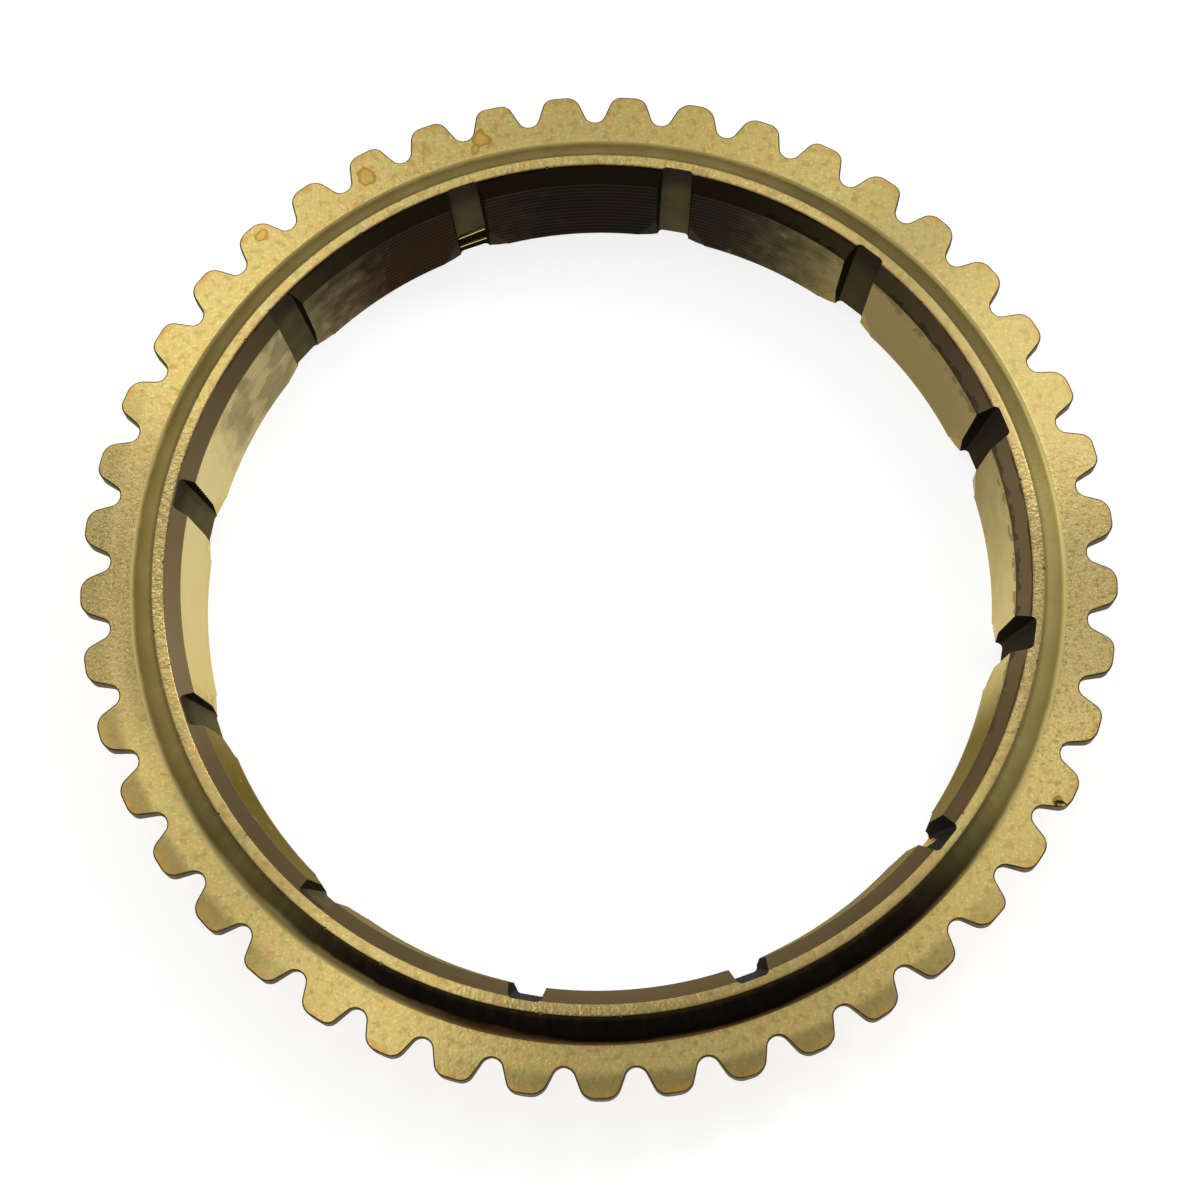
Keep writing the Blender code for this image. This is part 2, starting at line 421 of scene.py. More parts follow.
def add_bar(bm, corners, roundings, place, run, finish=BROACHED):
    """A bar with the closed outline through the corners, swept along run and set at place."""
    part = bmesh.new()
    verts = [part.verts.new(corner) for corner in corners]
    for i, vert in enumerate(verts):
        part.edges.new((verts[i - 1], vert))
    for i, radius in roundings.items():
        round_corner(part, verts[i], radius, bar_corner_segments)
    base = bmesh.ops.contextual_create(part, geom=part.edges[:])["faces"]
    swept = bmesh.ops.extrude_face_region(part, geom=base, use_keep_orig=True)["geom"]
    bmesh.ops.translate(part, verts=[v for v in swept if isinstance(v, bmesh.types.BMVert)], vec=run)
    bmesh.ops.transform(part, matrix=place, verts=part.verts)
    bmesh.ops.recalc_face_normals(part, faces=part.faces)
    for face in part.faces:
        face.material_index = finish
    add_mesh_of(bm, part)


# %% A cutter for the oil grooves
groove_drift = [0, 0, 0, 0, 0.5, 1.0, 0.5, 1.5, 1.5, 1.2, 0.9, 0]
groove_pitch = 2 * math.pi / len(groove_drift)
groove_angles = [first_angle + (k + 0.5) * groove_pitch + math.radians(drift) for k, drift in enumerate(groove_drift)]
groove_floor_width = 0.0025
groove_draft = math.radians(12)
groove_corner_radius = 0.0004
groove_depth_at_hub_end = 0.0008
groove_bite_in_lip = 0.00013
broach_offset = Vector((0.00026, 0, 0))


def groove_cutter():
    floor_at_hub_end = bore_radius + groove_depth_at_hub_end
    floor_at_lip = lip_inner_radius + groove_bite_in_lip
    rise = (floor_at_lip - floor_at_hub_end) / ring_height
    inward = floor_at_lip - bore_radius + 2 * overrun
    half_floor = groove_floor_width / 2
    half_mouth = half_floor + inward * math.tan(groove_draft)
    corners = [(-inward, -half_mouth, 0), (0, -half_floor, 0), (0, half_floor, 0), (-inward, half_mouth, 0)]
    run = Vector((rise, 0, 1)) * (ring_height + 2 * overrun)
    start = Matrix.Translation((floor_at_hub_end - rise * overrun, 0, -overrun))
    bm = bmesh.new()
    for angle in groove_angles:
        place = Matrix.Translation(broach_offset) @ Matrix.Rotation(angle, 4, "Z") @ start
        add_bar(bm, corners, {1: groove_corner_radius, 2: groove_corner_radius}, place, run)
    return new_piece("groove_cutter", bm)


print(f"{len(groove_angles)} grooves, {1000 * groove_floor_width:.1f} mm wide at the floor")

# %% A cutter for the key slots
slot_count = 3
slot_pitch = 2 * math.pi / slot_count
slot_width = 0.0130
slot_roof = 0.0014
slot_wall = 0.0019
slot_corner_radius = 0.0008


def slot_cutter():
    half_width = slot_width / 2
    slot_height = collar_height - slot_roof
    floor_radius = bore_radius + slot_wall
    corners = [
        (floor_radius, -half_width, -overrun),
        (floor_radius, half_width, -overrun),
        (floor_radius, half_width, slot_height),
        (floor_radius, -half_width, slot_height),
    ]
    run = Vector((collar_radius + overrun - floor_radius, 0, 0))
    bm = bmesh.new()
    for k in range(slot_count):
        place = Matrix.Rotation(first_angle + k * slot_pitch, 4, "Z")
        add_bar(bm, corners, {2: slot_corner_radius, 3: slot_corner_radius}, place, run)
    return new_piece("slot_cutter", bm)


print(f"{slot_count} key slots, {1000 * slot_width:.0f} mm wide")

# %% [markdown]
# ## Wear and dents
# At the hub end the corners of each groove are worn back into long, shallow flares. Handling leaves its dents
# too: chips along both edges of the lip, and one nick in the flank of a tooth. They could be sculpted, but
# cutters keep them to a few numbers: a flat wedge for the flares, and small balls for the dents. Each chip
# keeps to its own stretch of the lip, because the balls of one cutter must not run into each other.

# %% A cutter for the flares
flare_height = 0.0030
flare_depth = 0.00042
flare_reach = 0.0014
flare_corner_radius = 0.0005


def flare_cutter():
    """Shallow wedges that take the corners off both sides of each groove's mouth at the hub end."""
    half_land_gap = groove_floor_width / 2 + groove_depth_at_hub_end * math.tan(groove_draft)
    inner = -2 * overrun
    corners = [
        (inner, -half_land_gap - flare_reach, 0),
        (0, -half_land_gap - flare_reach, 0),
        (flare_depth, -half_land_gap, 0),
        (flare_depth, half_land_gap, 0),
        (0, half_land_gap + flare_reach, 0),
        (inner, half_land_gap + flare_reach, 0),
    ]
    lean = cone_slope - flare_depth / flare_height
    run = Vector((lean, 0, 1)) * (flare_height + 2 * overrun)
    bm = bmesh.new()
    for angle in groove_angles:
        sideways = turned(broach_offset, -angle).y
        start = Matrix.Translation((bore_radius - lean * overrun, sideways, -overrun))
        place = Matrix.Rotation(angle, 4, "Z") @ start
        add_bar(bm, corners, {2: flare_corner_radius, 3: flare_corner_radius}, place, run, THREAD)
    return new_piece("flare_cutter", bm)


print(f"the flares reach {1000 * flare_height:.1f} mm up and {1000 * flare_reach:.1f} mm to each side")

# %% A cutter for the chips and the nick
nick_place = (0.03499, -0.02169)
nick_radius = 0.00028
nick_turn = math.radians(-11)
nick_stretch = 1.8
chip_count = 34
chip_radii = (0.00008, 0.00015)
chip_margins = (0.1, 0.9)
ball_steps = 2


def chip_cutter():
    """Small balls along the edges of the lip, and a long one on the flank of a tooth, for the dents of handling."""
    bm = bmesh.new()
    stretch = Matrix.Rotation(nick_turn, 4, "Z") @ Matrix.Diagonal((nick_stretch, 1, 1, 1))
    place = Matrix.Translation((*nick_place, flange_face)) @ stretch
    bmesh.ops.create_icosphere(bm, subdivisions=ball_steps, radius=nick_radius, matrix=place)
    for k in range(chip_count):
        angle = (k + spread.uniform(*chip_margins)) * 2 * math.pi / chip_count
        edge = spread.choice([lip_outer_radius, lip_outer_radius, lip_inner_radius])
        place = Matrix.Translation((edge * math.cos(angle), edge * math.sin(angle), ring_height))
        bmesh.ops.create_icosphere(bm, subdivisions=ball_steps, radius=spread.uniform(*chip_radii), matrix=place)
    for face in bm.faces:
        face.material_index = TUMBLED
    return new_piece("chip_cutter", bm)


print(f"{chip_count} chips and one nick")


# %% Cut them all
def cut(piece, cutter):
    """Cuts the piece with a Boolean, keeps the result as its mesh and removes the cutter."""
    step = piece.modifiers.new(cutter.name, "BOOLEAN")
    step.operation = "DIFFERENCE"
    step.solver = "EXACT"
    step.object = cutter
    bpy.context.view_layer.update()
    graph = bpy.context.evaluated_depsgraph_get()
    finished = bpy.data.meshes.new_from_object(piece.evaluated_get(graph))
    piece.modifiers.clear()
    piece.data = finished
    bpy.data.objects.remove(cutter)


wall_normal = 0.6
cut(ring_piece, groove_cutter())
for face in ring_piece.data.polygons:
    spoke = face.center.to_2d().to_3d().normalized()
    if face.material_index == BROACHED and abs(face.normal.dot(spoke)) < wall_normal:
        face.material_index = WALL
cut(ring_piece, flare_cutter())
cut(ring_piece, chip_cutter())
cut(ring_piece, slot_cutter())
print(f"the cut ring has {len(ring_piece.data.polygons)} faces")

# %% [markdown]
# ## Burrs
# In one groove the broach has torn up two thin burrs, and their faces shine like fresh metal.
# Each is a thin plate that stands in the floor of the groove and leans a little.

# %% Two burrs in one groove
burr_width = 0.0024
burr_thickness = 0.00010
burr_sunk = 0.0003
burr_plate = [(burr_sunk, 0, 0), (-0.00017, 0, 0), (-0.00015, 0, burr_thickness), (burr_sunk, 0, burr_thickness)]
burr_heights_and_tilts = [(0.0025, 8), (0.0010, 2)]
groove_floor_lean = 0.15
burred = bmesh.new()
burred.from_mesh(ring_piece.data)
for height, tilt in burr_heights_and_tilts:
    floor = bore_radius + groove_depth_at_hub_end + height * groove_floor_lean
    plate_start = Matrix.Translation((floor, -burr_width / 2, height)) @ Matrix.Rotation(math.radians(-tilt), 4, "X")
    place = Matrix.Translation(broach_offset) @ Matrix.Rotation(groove_angles[0], 4, "Z") @ plate_start
    add_bar(burred, burr_plate, {}, place, Vector((0, burr_width, 0)), FRESH)
burred.to_mesh(ring_piece.data)
open_edges = sum(not edge.is_manifold for edge in burred.edges)
triangles = sum(len(face.verts) - 2 for face in burred.faces)
print(f"the ring has {triangles} triangles, {open_edges} open edges and {1e9 * burred.calc_volume():.0f} mm3")
burred.free()

# %% Smooth faces, sharp corners
sharp_angle = math.radians(21)
ring_piece.data.shade_smooth()
ring_piece.data.set_sharp_from_angle(angle=sharp_angle)
flats = ring_piece.modifiers.new("flat faces stay flat", "WEIGHTED_NORMAL")
flats.keep_sharp = True

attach(ring_piece, "root")
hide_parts("synchronizer_ring")
print("the ring rides on the root body and stands for the solid")

# %% [markdown]
# ## Node helpers
# A material is a small network. These helpers keep each line of it readable: a value or a socket may stand
# for every input, and a group is made with named sockets that each material sets for itself.

# %% Helpers for nodes
def feed(tree, socket, source):
    """Sets an input from a number, a colour, or the output of another node."""
    if isinstance(source, bpy.types.NodeSocket):
        tree.links.new(source, socket)
    else:
        socket.default_value = (*source, 1) if isinstance(source, tuple) else source


def add_node(tree, kind, inputs=None, **settings):
    node = tree.nodes.new("ShaderNode" + kind)
    for name, value in settings.items():
        setattr(node, name, value)
    for name, source in (inputs or {}).items():
        feed(tree, node.inputs[name], source)
    return node


def calc(tree, operation, *sources):
    node = add_node(tree, "Math", operation=operation)
    for socket, source in zip(node.inputs, sources):
        feed(tree, socket, source)
    return node.outputs["Value"]


def times(tree, product, *sources):
    for source in sources:
        product = calc(tree, "MULTIPLY", product, source)
    return product


def plus(tree, total, *sources):
    for source in sources:
        total = calc(tree, "ADD", total, source)
    return total


def minus(tree, first, second):
    return calc(tree, "SUBTRACT", first, second)


def ramp(tree, source, low, high, to_low=0.0, to_high=1.0):
    """A smooth step of a value from one pair of limits to another."""
    limits = {"Value": source, "From Min": low, "From Max": high, "To Min": to_low, "To Max": to_high}
    return add_node(tree, "MapRange", limits, interpolation_type="SMOOTHSTEP").outputs["Result"]


def noise(tree, place, scale, detail):
    return add_node(tree, "TexNoise", {"Vector": place, "Scale": scale, "Detail": detail}).outputs["Fac"]


def blend(tree, share, first, second):
    """The first colour, turned into the second by this share."""
    node = add_node(tree, "Mix", data_type="RGBA")
    feed(tree, node.inputs["Factor"], share)
    feed(tree, node.inputs[6], first)
    feed(tree, node.inputs[7], second)
    return node.outputs[2]


def stain(tree, base, colour, share, amount=1.0):
    """The base with a colour laid over it, by this amount of a share."""
    return blend(tree, times(tree, share, amount), base, colour)


def new_group(name, inputs, outputs):
    """A group, the sockets that give its inputs, and the sockets that take its results."""
    tree = bpy.data.node_groups.new(name, "ShaderNodeTree")
    for socket, value in inputs.items():
        tree.interface.new_socket(socket, in_out="INPUT", socket_type="NodeSocketFloat").default_value = value
    for socket in outputs:
        tree.interface.new_socket(socket, in_out="OUTPUT", socket_type="NodeSocketFloat")
    return tree, tree.nodes.new("NodeGroupInput").outputs, tree.nodes.new("NodeGroupOutput").inputs


def use_group(tree, group, inputs=None):
    """The outputs of a group with these inputs."""
    return add_node(tree, "Group", inputs, node_tree=group).outputs


def object_place(tree):
    return add_node(tree, "TexCoord").outputs["Object"]


def split_place(tree):
    return add_node(tree, "SeparateXYZ", {"Vector": object_place(tree)}).outputs


def long_side(tree, x, y):
    return calc(tree, "SQRT", plus(tree, times(tree, x, x), times(tree, y, y)))


# %% [markdown]
# ## Where on the ring
# A turned finish runs round the axis, so its nodes think in radius, height and spoke, and not in X and Y.
# This group works them out once from the Object coordinates. The spoke comes out as a cosine and a sine: an
# angle would jump from 180 to -180 degrees, and that jump would show as a seam.

# %% Group for the place on the ring
place_group, _, place_out = new_group("place on the ring", {}, ["Radius", "Height", "Cosine", "Sine"])
split = split_place(place_group)
reach = long_side(place_group, split["X"], split["Y"])
feed(place_group, place_out["Radius"], reach)
feed(place_group, place_out["Height"], split["Z"])
feed(place_group, place_out["Cosine"], calc(place_group, "DIVIDE", split["X"], reach))
feed(place_group, place_out["Sine"], calc(place_group, "DIVIDE", split["Y"], reach))
print(f"{place_group.name}: {len(place_group.nodes)} nodes")

# %% [markdown]
# ## Turning marks
# The point of the tool leaves a fine groove on each turn. Noise that is stretched round the ring gives such
# marks: it changes fast across them, over hundredths of a millimetre, and slowly along them. A second,
# broader layer colours whole bundles of them.

# %% Group for turning marks
marks_group, marks_in, marks_out = new_group(
    "turning marks", {"Across": 0.0, "Spacing": 0.0001, "Along": 2.0}, ["Height", "Streaks"])
marks_place = use_group(marks_group, place_group)
across = calc(marks_group, "DIVIDE", marks_in["Across"], marks_in["Spacing"])
round_x = times(marks_group, marks_place["Cosine"], marks_in["Along"])
round_y = times(marks_group, marks_place["Sine"], marks_in["Along"])
broadness = 0.13
for result, fineness, detail in (("Height", 1.0, 2.0), ("Streaks", broadness, 3.0)):
    stretched = {"X": times(marks_group, across, fineness), "Y": round_x, "Z": round_y}
    vector = add_node(marks_group, "CombineXYZ", stretched).outputs["Vector"]
    feed(marks_group, marks_out[result], noise(marks_group, vector, 1.0, detail))
print(f"{marks_group.name}: {len(marks_group.nodes)} nodes")

# %% [markdown]
# ## Tumbled grain
# Tumbling in grit leaves a fine sand on the flange and the lip: specks that catch the light, and pits that don't.
# Brass that has lain about also turns in patches, some pinker and some greener.

# %% Group for tumbled grain
grain_group, grain_in, grain_out = new_group(
    "tumbled grain", {"Size": 0.0004}, ["Height", "Specks", "Pits", "Clouds", "Blotches"])
grain_place = object_place(grain_group)


def grain_layer(coarseness, detail):
    """Noise in the grain group, coarser than the grain's own size by this factor."""
    scale = calc(grain_group, "DIVIDE", 1 / coarseness, grain_in["Size"])
    return noise(grain_group, grain_place, scale, detail)


fine = grain_layer(1, 2.0)
middling = grain_layer(2.6, 2.0)
feed(grain_group, grain_out["Height"], plus(grain_group, fine, middling))
feed(grain_group, grain_out["Specks"], ramp(grain_group, fine, 0.50, 0.70))
feed(grain_group, grain_out["Pits"], ramp(grain_group, middling, 0.50, 0.30))
feed(grain_group, grain_out["Clouds"], ramp(grain_group, grain_layer(4.5, 2.0), 0.36, 0.64))
feed(grain_group, grain_out["Blotches"], ramp(grain_group, grain_layer(14, 3.0), 0.36, 0.64))
print(f"{grain_group.name}: {len(grain_group.nodes)} nodes")

# %% [markdown]
# ## Sectors
# Tarnish, oil, painted sheen and painted shade lie unevenly round the ring. A sector is full near its middle spoke
# and fades out on both sides.
# Noise makes its edge ragged where that is wanted. It compares cosines, so it needs no angle and has no seam.
# Each sector is given by its middle, by how far it is full and by where it has faded, all in degrees.

# %% Group for a sector
sector_group, sector_in, sector_out = new_group(
    "sector", {"Middle X": 1.0, "Middle Y": 0.0, "Full": 0.9, "Faded": 0.8, "Raggedness": 0.0}, ["Share"])
sector_place = use_group(sector_group, place_group)
near_x = times(sector_group, sector_place["Cosine"], sector_in["Middle X"])
near_y = times(sector_group, sector_place["Sine"], sector_in["Middle Y"])
rag_scale = 600.0
rag = noise(sector_group, object_place(sector_group), rag_scale, 3.0)
rag = times(sector_group, minus(sector_group, rag, 0.5), sector_in["Raggedness"])
nearness = plus(sector_group, plus(sector_group, near_x, near_y), rag)
sector_share = ramp(sector_group, nearness, sector_in["Faded"], sector_in["Full"])
feed(sector_group, sector_out["Share"], sector_share)
print(f"{sector_group.name}: {len(sector_group.nodes)} nodes")


def sector(tree, middle, full, faded, raggedness=0.0):
    """A share that is 1 within full degrees of the middle spoke and 0 beyond faded degrees."""
    inputs = {
        "Middle X": math.cos(math.radians(middle)),
        "Middle Y": math.sin(math.radians(middle)),
        "Full": math.cos(math.radians(full)),
        "Faded": math.cos(math.radians(faded)),
        "Raggedness": raggedness,
    }
    return use_group(tree, sector_group, inputs)["Share"]


# %% [markdown]
# ## Stains
# Drops of oil dried on the flange and left orange marks, the large ones with darker rims. They lie where the photo
# shows them, and a cell texture scatters the small specks.

# %% Group for one dried drop
drop_group, drop_in, drop_out = new_group("dried drop", {"X": 0.0, "Y": 0.0, "Size": 0.001}, ["Film", "Rim"])
drop_noise_scale, drop_wobble = 1100.0, 1.6
drop_split = split_place(drop_group)
away_x = minus(drop_group, drop_split["X"], drop_in["X"])
away_y = minus(drop_group, drop_split["Y"], drop_in["Y"])
away = calc(drop_group, "DIVIDE", long_side(drop_group, away_x, away_y), drop_in["Size"])
wobble = minus(drop_group, noise(drop_group, object_place(drop_group), drop_noise_scale, 1.0), 0.5)
away = plus(drop_group, away, times(drop_group, wobble, drop_wobble))
drop_film = ramp(drop_group, away, 1.05, 0.80)
feed(drop_group, drop_out["Film"], drop_film)
feed(drop_group, drop_out["Rim"], times(drop_group, drop_film, ramp(drop_group, away, 0.35, 0.85)))
print(f"{drop_group.name}: {len(drop_group.nodes)} nodes")

# %% Group for scattered spots
spots_group, spots_in, spots_out = new_group("scattered spots", {"Spacing": 0.002, "Share of cells": 0.3}, ["Film"])
spots_place = object_place(spots_group)
spots_scale = calc(spots_group, "DIVIDE", 1.0, spots_in["Spacing"])
cells = add_node(spots_group, "TexVoronoi", {"Vector": spots_place, "Scale": spots_scale})
chance = add_node(spots_group, "SeparateColor", {"Color": cells.outputs["Color"]})
there = calc(spots_group, "LESS_THAN", chance.outputs["Red"], spots_in["Share of cells"])
spot_noise_scale, smallest_spot = 2600.0, 0.20
spots_noise = noise(spots_group, spots_place, spot_noise_scale, 3.0)
spot_size = times(spots_group, chance.outputs["Green"], 0.22)
spot_size = plus(spots_group, spot_size, times(spots_group, spots_noise, 0.50))
spot_size = minus(spots_group, spot_size, smallest_spot)
spot_depth = minus(spots_group, spot_size, cells.outputs["Distance"])
spot_film = times(spots_group, there, ramp(spots_group, spot_depth, 0.0, 0.12))
feed(spots_group, spots_out["Film"], spot_film)
print(f"{spots_group.name}: {len(spots_group.nodes)} nodes")


# %% Helpers for a finish
def brass_shader(name, constants):
    """The Principled shader of a finish, all metal unless its constants say otherwise."""
    material = finishes[name]
    material.use_nodes = True
    tree = material.node_tree
    shader = tree.nodes["Principled BSDF"]
    for socket, value in {"Metallic": 1.0, **constants}.items():
        feed(tree, shader.inputs[socket], value)
    return tree, shader


def add_relief(tree, shader, height, distance):
    relief = add_node(tree, "Bump", {"Height": height, "Distance": distance, "Strength": 1.0})
    feed(tree, shader.inputs["Normal"], relief.outputs["Normal"])


def torn_edge(tree, distance, size, reach, shift, fade):
    """A share that is 1 at a line and gone past it, where clouds of this size move the line by up to reach."""
    clouds = use_group(tree, grain_group, {"Size": size})["Clouds"]
    return ramp(tree, minus(tree, plus(tree, distance, times(tree, clouds, reach)), shift), fade, 0.0)


# %% [markdown]
# ## Tumbled brass
# The flange, the lip and the collar are brushed gold under the tumbler's sand. Brushing runs round the axis, so
# the highlight is stretched along the spokes: the tangent of the shader points outwards. Patches of pinker and
# greener metal come from the clouds of the grain.

# %% Tumbled brass
tree, shader = brass_shader("tumbled_brass", {"Roughness": 0.36, "Anisotropic": 0.97})
spoke = add_node(tree, "VectorMath", operation="MULTIPLY")
feed(tree, spoke.inputs[0], object_place(tree))
feed(tree, spoke.inputs[1], Vector((1, 1, 0)))
feed(tree, shader.inputs["Tangent"], spoke.outputs["Vector"])
place = use_group(tree, place_group)
grain = use_group(tree, grain_group, {"Size": 0.00026})
marks = use_group(tree, marks_group, {"Across": place["Radius"], "Spacing": 0.00007, "Along": 3.0})
gold = blend(tree, grain["Clouds"], (0.78, 0.55, 0.20), (0.73, 0.61, 0.205))
gold = stain(tree, gold, (0.78, 0.56, 0.165), grain["Blotches"], 0.45)
# Bright specks: partly the tone of the tumbled grain, partly painted glints.
gold = stain(tree, gold, (0.98, 0.84, 0.38), grain["Specks"], 0.55)
gold = stain(tree, gold, (0.44, 0.32, 0.10), grain["Pits"], 0.50)

print(f"tumbled brass, before its stains: {len(tree.nodes)} nodes")

# %% Stains and painted shade on the tumbled brass
upper_side = ramp(tree, place["Height"], flange_face - 0.0003, flange_face - 0.0002)
spots = use_group(tree, spots_group, {"Spacing": 0.0024, "Share of cells": 0.75})
spotted = times(tree, spots["Film"], upper_side)
gold = stain(tree, gold, (0.56, 0.31, 0.06), spotted, 0.5)
# Painted shade: the teeth are darker on the lower left and on the near side, and the flange is greener and darker at
# the upper right.
shaded_teeth = plus(tree, sector(tree, 192, 26, 44), sector(tree, 283, 16, 40))
shaded_teeth = times(tree, shaded_teeth, ramp(tree, place["Radius"], root_radius, root_radius + 0.0010))
gold = stain(tree, gold, (0.30, 0.22, 0.075), shaded_teeth, 0.65)
gold = stain(tree, gold, (0.52, 0.45, 0.19), sector(tree, 30, 10, 26), 0.35)
tip = ramp(tree, place["Radius"], tip_radius - 0.0010, tip_radius - 0.0002)
tip = times(tree, tip, grain["Clouds"])
gold = stain(tree, gold, (0.68, 0.38, 0.09), tip, 0.8)
dried_drops = [
    (-0.01675, 0.03611, 0.00085),
    (-0.01179, 0.03863, 0.00048),
    (-0.00704, 0.03869, 0.00080),
    (-0.00745, 0.03790, 0.00050),
    (-0.01290, 0.03700, 0.00036),
    (-0.00560, 0.03990, 0.00040),
    (-0.02582, 0.03160, 0.00060),
    (-0.03360, 0.02055, 0.00036),
    (-0.03326, 0.01823, 0.00042),
    (-0.03398, 0.01705, 0.00036),
    (-0.03688, 0.00899, 0.00036),
    (0.03875, 0.00664, 0.00030),
    (0.03942, 0.01330, 0.00030),
    (0.03725, 0.01211, 0.00024),
]
rimmed_drop_size = 0.0005
for x, y, size in dried_drops:
    drop = use_group(tree, drop_group, {"X": x, "Y": y, "Size": size})
    overlay = times(tree, drop["Film"], upper_side)
    edge = times(tree, drop["Rim"], upper_side)
    if size < rimmed_drop_size:
        overlay = minus(tree, overlay, times(tree, edge, 0.75))
        gold = stain(tree, gold, (0.66, 0.38, 0.08), overlay, 0.75)
        continue
    gold = stain(tree, gold, (0.74, 0.46, 0.09), overlay, 0.8)
    gold = stain(tree, gold, (0.42, 0.24, 0.05), edge, 0.8)
# The flange is darker in and round the nick.
nick = use_group(tree, drop_group, {"X": nick_place[0] - 0.00012, "Y": nick_place[1] + 0.00018, "Size": 0.00042})
gold = stain(tree, gold, (0.26, 0.16, 0.05), nick["Film"], 0.8)
print(f"{len(dried_drops)} dried drops")

# %% The lip, the turning arcs, painted shade and glints, and the relief of the tumbled brass
lip = ramp(tree, place["Radius"], lip_outer_radius + 0.0002, lip_outer_radius + 0.0001)
lip = times(tree, lip, upper_side)
lip_specks = use_group(tree, spots_group, {"Spacing": 0.0007, "Share of cells": 0.7})
lip_share = times(tree, lip_specks["Film"], lip)
gold = stain(tree, gold, (0.45, 0.26, 0.08), lip_share, 0.5)
# Painted shade: the lip is duller on the right, on the near side and at the lower left.
shaded_lip = plus(tree, sector(tree, 5, 32, 50), sector(tree, 285, 25, 38))
shaded_lip = plus(tree, shaded_lip, sector(tree, 208, 10, 22))
shaded_lip = times(tree, shaded_lip, lip)
gold = stain(tree, gold, (0.36, 0.24, 0.10), shaded_lip, 0.35)
inner_edge = ramp(tree, place["Radius"], lip_inner_radius + 0.00018, lip_inner_radius + 0.00002)
inner_edge = times(tree, inner_edge, times(tree, lip, 0.7))
inner_edge = times(tree, inner_edge, sector(tree, 60, 60, 150))
gold = stain(tree, gold, (0.30, 0.13, 0.07), inner_edge)
outer_edge = ramp(tree, place["Radius"], lip_outer_radius - 0.00012, lip_outer_radius)
gold = stain(tree, gold, (0.24, 0.17, 0.06), times(tree, outer_edge, times(tree, lip, 0.5)))
# Painted shade: the flange and the lip are darker on the left and on the right, where their sheen fails.
shaded_left = sector(tree, 176, 9, 24, 0.01)
gold = stain(tree, gold, (0.43, 0.32, 0.12), shaded_left, 0.6)
gold = stain(tree, gold, (0.46, 0.36, 0.15), sector(tree, 358, 10, 24, 0.01), 0.5)
# Turning arcs, which the flange has all round, painted darker only on the left where its sheen fails.
arcs = times(tree, sector(tree, 174, 3, 6, 0.01), ramp(tree, marks["Streaks"], 0.55, 0.42))
gold = stain(tree, gold, (0.36, 0.25, 0.10), arcs, 0.35)
# On the left and the right the grain shows stronger: darker pits, and bright specks that are painted glints.
mottle = use_group(tree, grain_group, {"Size": 0.00013})
glint_sectors = plus(tree, sector(tree, 174, 6, 20, 0.03), sector(tree, 350, 12, 26, 0.04))
rough_pits = times(tree, glint_sectors, times(tree, mottle["Pits"], 0.55))
gold = stain(tree, gold, (0.27, 0.19, 0.07), rough_pits)
painted_glints = times(tree, glint_sectors, times(tree, mottle["Specks"], 0.6))
gold = stain(tree, gold, (0.98, 0.80, 0.42), painted_glints)
feed(tree, shader.inputs["Base Color"], gold)
sandiness = plus(tree, 0.35, times(tree, lip, 0.6))
sand = times(tree, grain["Height"], sandiness)
turned_in = times(tree, marks["Height"], 0.15)
add_relief(tree, shader, plus(tree, sand, turned_in), 0.00002)

print(f"tumbled brass: {len(tree.nodes)} nodes")

# %% [markdown]
# ## Flanks and band
# The flanks of the teeth and their rims are painted dark brown and hardly metallic, as shade. The band is turned,
# and its cut has gone olive; painted sheen lights it on the left, on the right and along its foot, and painted shade
# darkens it at the upper right, under the lip, and black on the near side, where the dark room adds its reflection.

# %% Tooth flanks
tree, shader = brass_shader("tooth_flank", {
    "Roughness": 0.5, "Metallic": 0.3, "Specular Tint": (0.60, 0.48, 0.30), "Specular IOR Level": 0.1})
grain = use_group(tree, grain_group, {"Size": 0.0003})
# Painted shade: the sides of the teeth, with their rounded rims and the roofs of their pointed side, are dark brown
# and hardly metallic.
flank_shade = blend(tree, grain["Clouds"], (0.17, 0.12, 0.05), (0.10, 0.08, 0.035))
feed(tree, shader.inputs["Base Color"], flank_shade)

print(f"tooth flanks: {len(tree.nodes)} nodes")

# %% Turned band
tree, shader = brass_shader("turned_band", {"Roughness": 0.52})
place = use_group(tree, place_group)
marks = use_group(tree, marks_group, {"Across": place["Radius"], "Spacing": 0.00009, "Along": 3.0})
grain = use_group(tree, grain_group, {"Size": 0.0005})
olive = blend(tree, marks["Streaks"], (0.32, 0.26, 0.09), (0.27, 0.22, 0.07))
olive = stain(tree, olive, (0.36, 0.27, 0.10), grain["Clouds"], 0.25)
# Painted sheen on the left and the right of the band, and painted shade at its upper right.
olive = stain(tree, olive, (0.48, 0.37, 0.12), sector(tree, 180, 8, 32))
olive = stain(tree, olive, (0.50, 0.42, 0.15), sector(tree, 350, 18, 42))
olive = stain(tree, olive, (0.14, 0.12, 0.04), sector(tree, 36, 14, 34), 0.7)
# The radius, made ragged by clouds and pushed out near 238 degrees: it bounds the painted black and the painted
# highlight at the foot.
ragged_radius = times(tree, grain["Clouds"], 0.00012)
ragged_radius = plus(tree, place["Radius"], ragged_radius)
ragged_radius = plus(tree, ragged_radius, times(tree, sector(tree, 238, 14, 28), 0.0004))
# Painted shade: on the near side the cone of the band is black below the ragged line.
painted_black_share = ramp(tree, ragged_radius, foot_of_band - 0.00010, foot_of_band - 0.00045)
painted_black_share = times(tree, painted_black_share, sector(tree, 271, 32, 58, 0.03))
